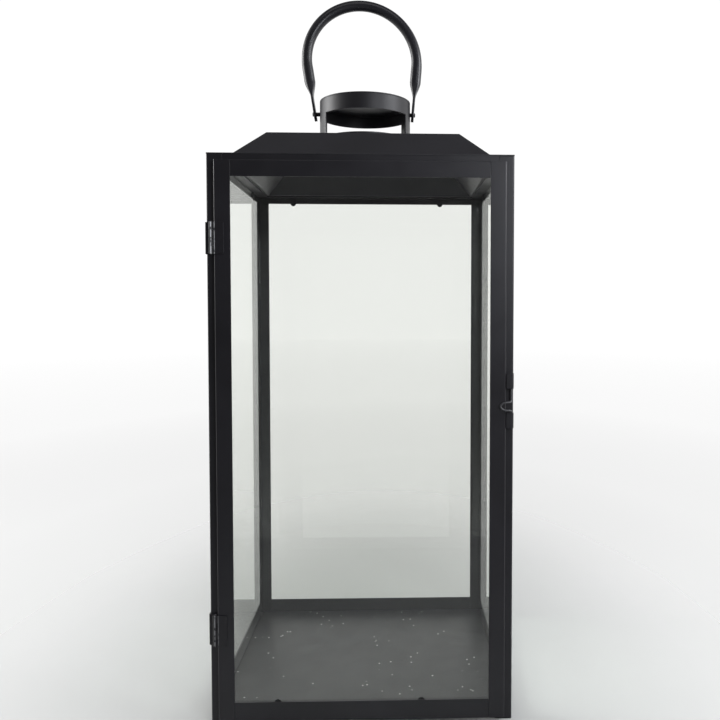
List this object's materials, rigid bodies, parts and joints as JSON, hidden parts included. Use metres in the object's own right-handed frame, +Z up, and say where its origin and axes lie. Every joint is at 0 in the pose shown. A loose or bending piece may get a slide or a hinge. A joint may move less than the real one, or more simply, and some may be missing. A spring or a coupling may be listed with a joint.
{
  "type": "candle lantern",
  "caption": "Tall square metal and glass candle lantern with a hinged glazed door, wire latch, raised hollow roof, vented round chimney and a swinging bail handle.",
  "frame": {"origin": "centre of the underside of the whole object's box, on the surface the four feet stand on", "axes": "+Z up, the door faces -Y, hinges on -X and latch on +X"},
  "size_m": [0.251, 0.2564, 0.6374],
  "materials": {
    "frame": "satin black powder coat",
    "door": "satin black powder coat",
    "floor": "satin black powder coat, lightly dusted",
    "roof": "satin black powder coat",
    "handle": "smooth semi-gloss black coat",
    "hardware": "black coat worn on the edges",
    "tab": "satin black coat",
    "wire": "blackened steel wire",
    "glass": "clear float glass with a faint green tint"
  },
  "bodies": {
    "frame": {"bottom_rail_back": "frame", "bottom_rail_front": "frame", "bottom_rail_left": "frame", "bottom_rail_right": "frame", "chimney": "roof", "chimney_cap": "roof", "corner_post_back_left": "frame", "corner_post_back_right": "frame", "corner_post_front_left": "frame", "corner_post_front_right": "frame", "floor_plate": "floor", "glass_back": "glass", "glass_left": "glass", "glass_right": "glass", "glass_tab_back_left": "tab", "glass_tab_back_right": "tab", "glass_tab_left_left": "tab", "glass_tab_left_right": "tab", "glass_tab_right_left": "tab", "glass_tab_right_right": "tab", "handle_rivet_left": "handle", "handle_rivet_right": "handle", "hinge_leaf_post_lower": "hardware", "hinge_leaf_post_upper": "hardware", "hinge_pin_lower": "hardware", "hinge_pin_upper": "hardware", "latch_lug_lower": "hardware", "latch_lug_upper": "hardware", "roof_shell": "roof", "top_rail_back": "frame", "top_rail_front": "frame", "top_rail_left": "frame", "top_rail_right": "frame"},
    "door": {"door_glass": "glass", "door_rail_bottom": "door", "door_rail_top": "door", "door_stile_hinge": "door", "door_stile_latch": "door", "door_tab_bottom_left": "tab", "door_tab_bottom_right": "tab", "door_tab_top_left": "tab", "door_tab_top_right": "tab", "hinge_leaf_door_lower": "hardware", "hinge_leaf_door_upper": "hardware"},
    "bail": {"bail_handle": "handle"},
    "latch": {"latch_loop": "wire"}
  },
  "joints": [
    {"name": "door_hinge", "type": "hinge", "parent": "frame", "child": "door", "pos_m": [-0.12, -0.12538, 0.24], "axis": [0, 0, -1], "range_deg": [0, 170]},
    {"name": "bail_swing", "type": "hinge", "parent": "frame", "child": "bail", "pos_m": [-0.00075, 0.00322, 0.53], "axis": [1, 0, 0], "range_deg": [-108, 108]},
    {"name": "latch_swing", "type": "hinge", "parent": "frame", "child": "latch", "pos_m": [0.1234, -0.12408, 0.264], "axis": [0, 0, 1], "range_deg": [0, 150]}
  ]
}
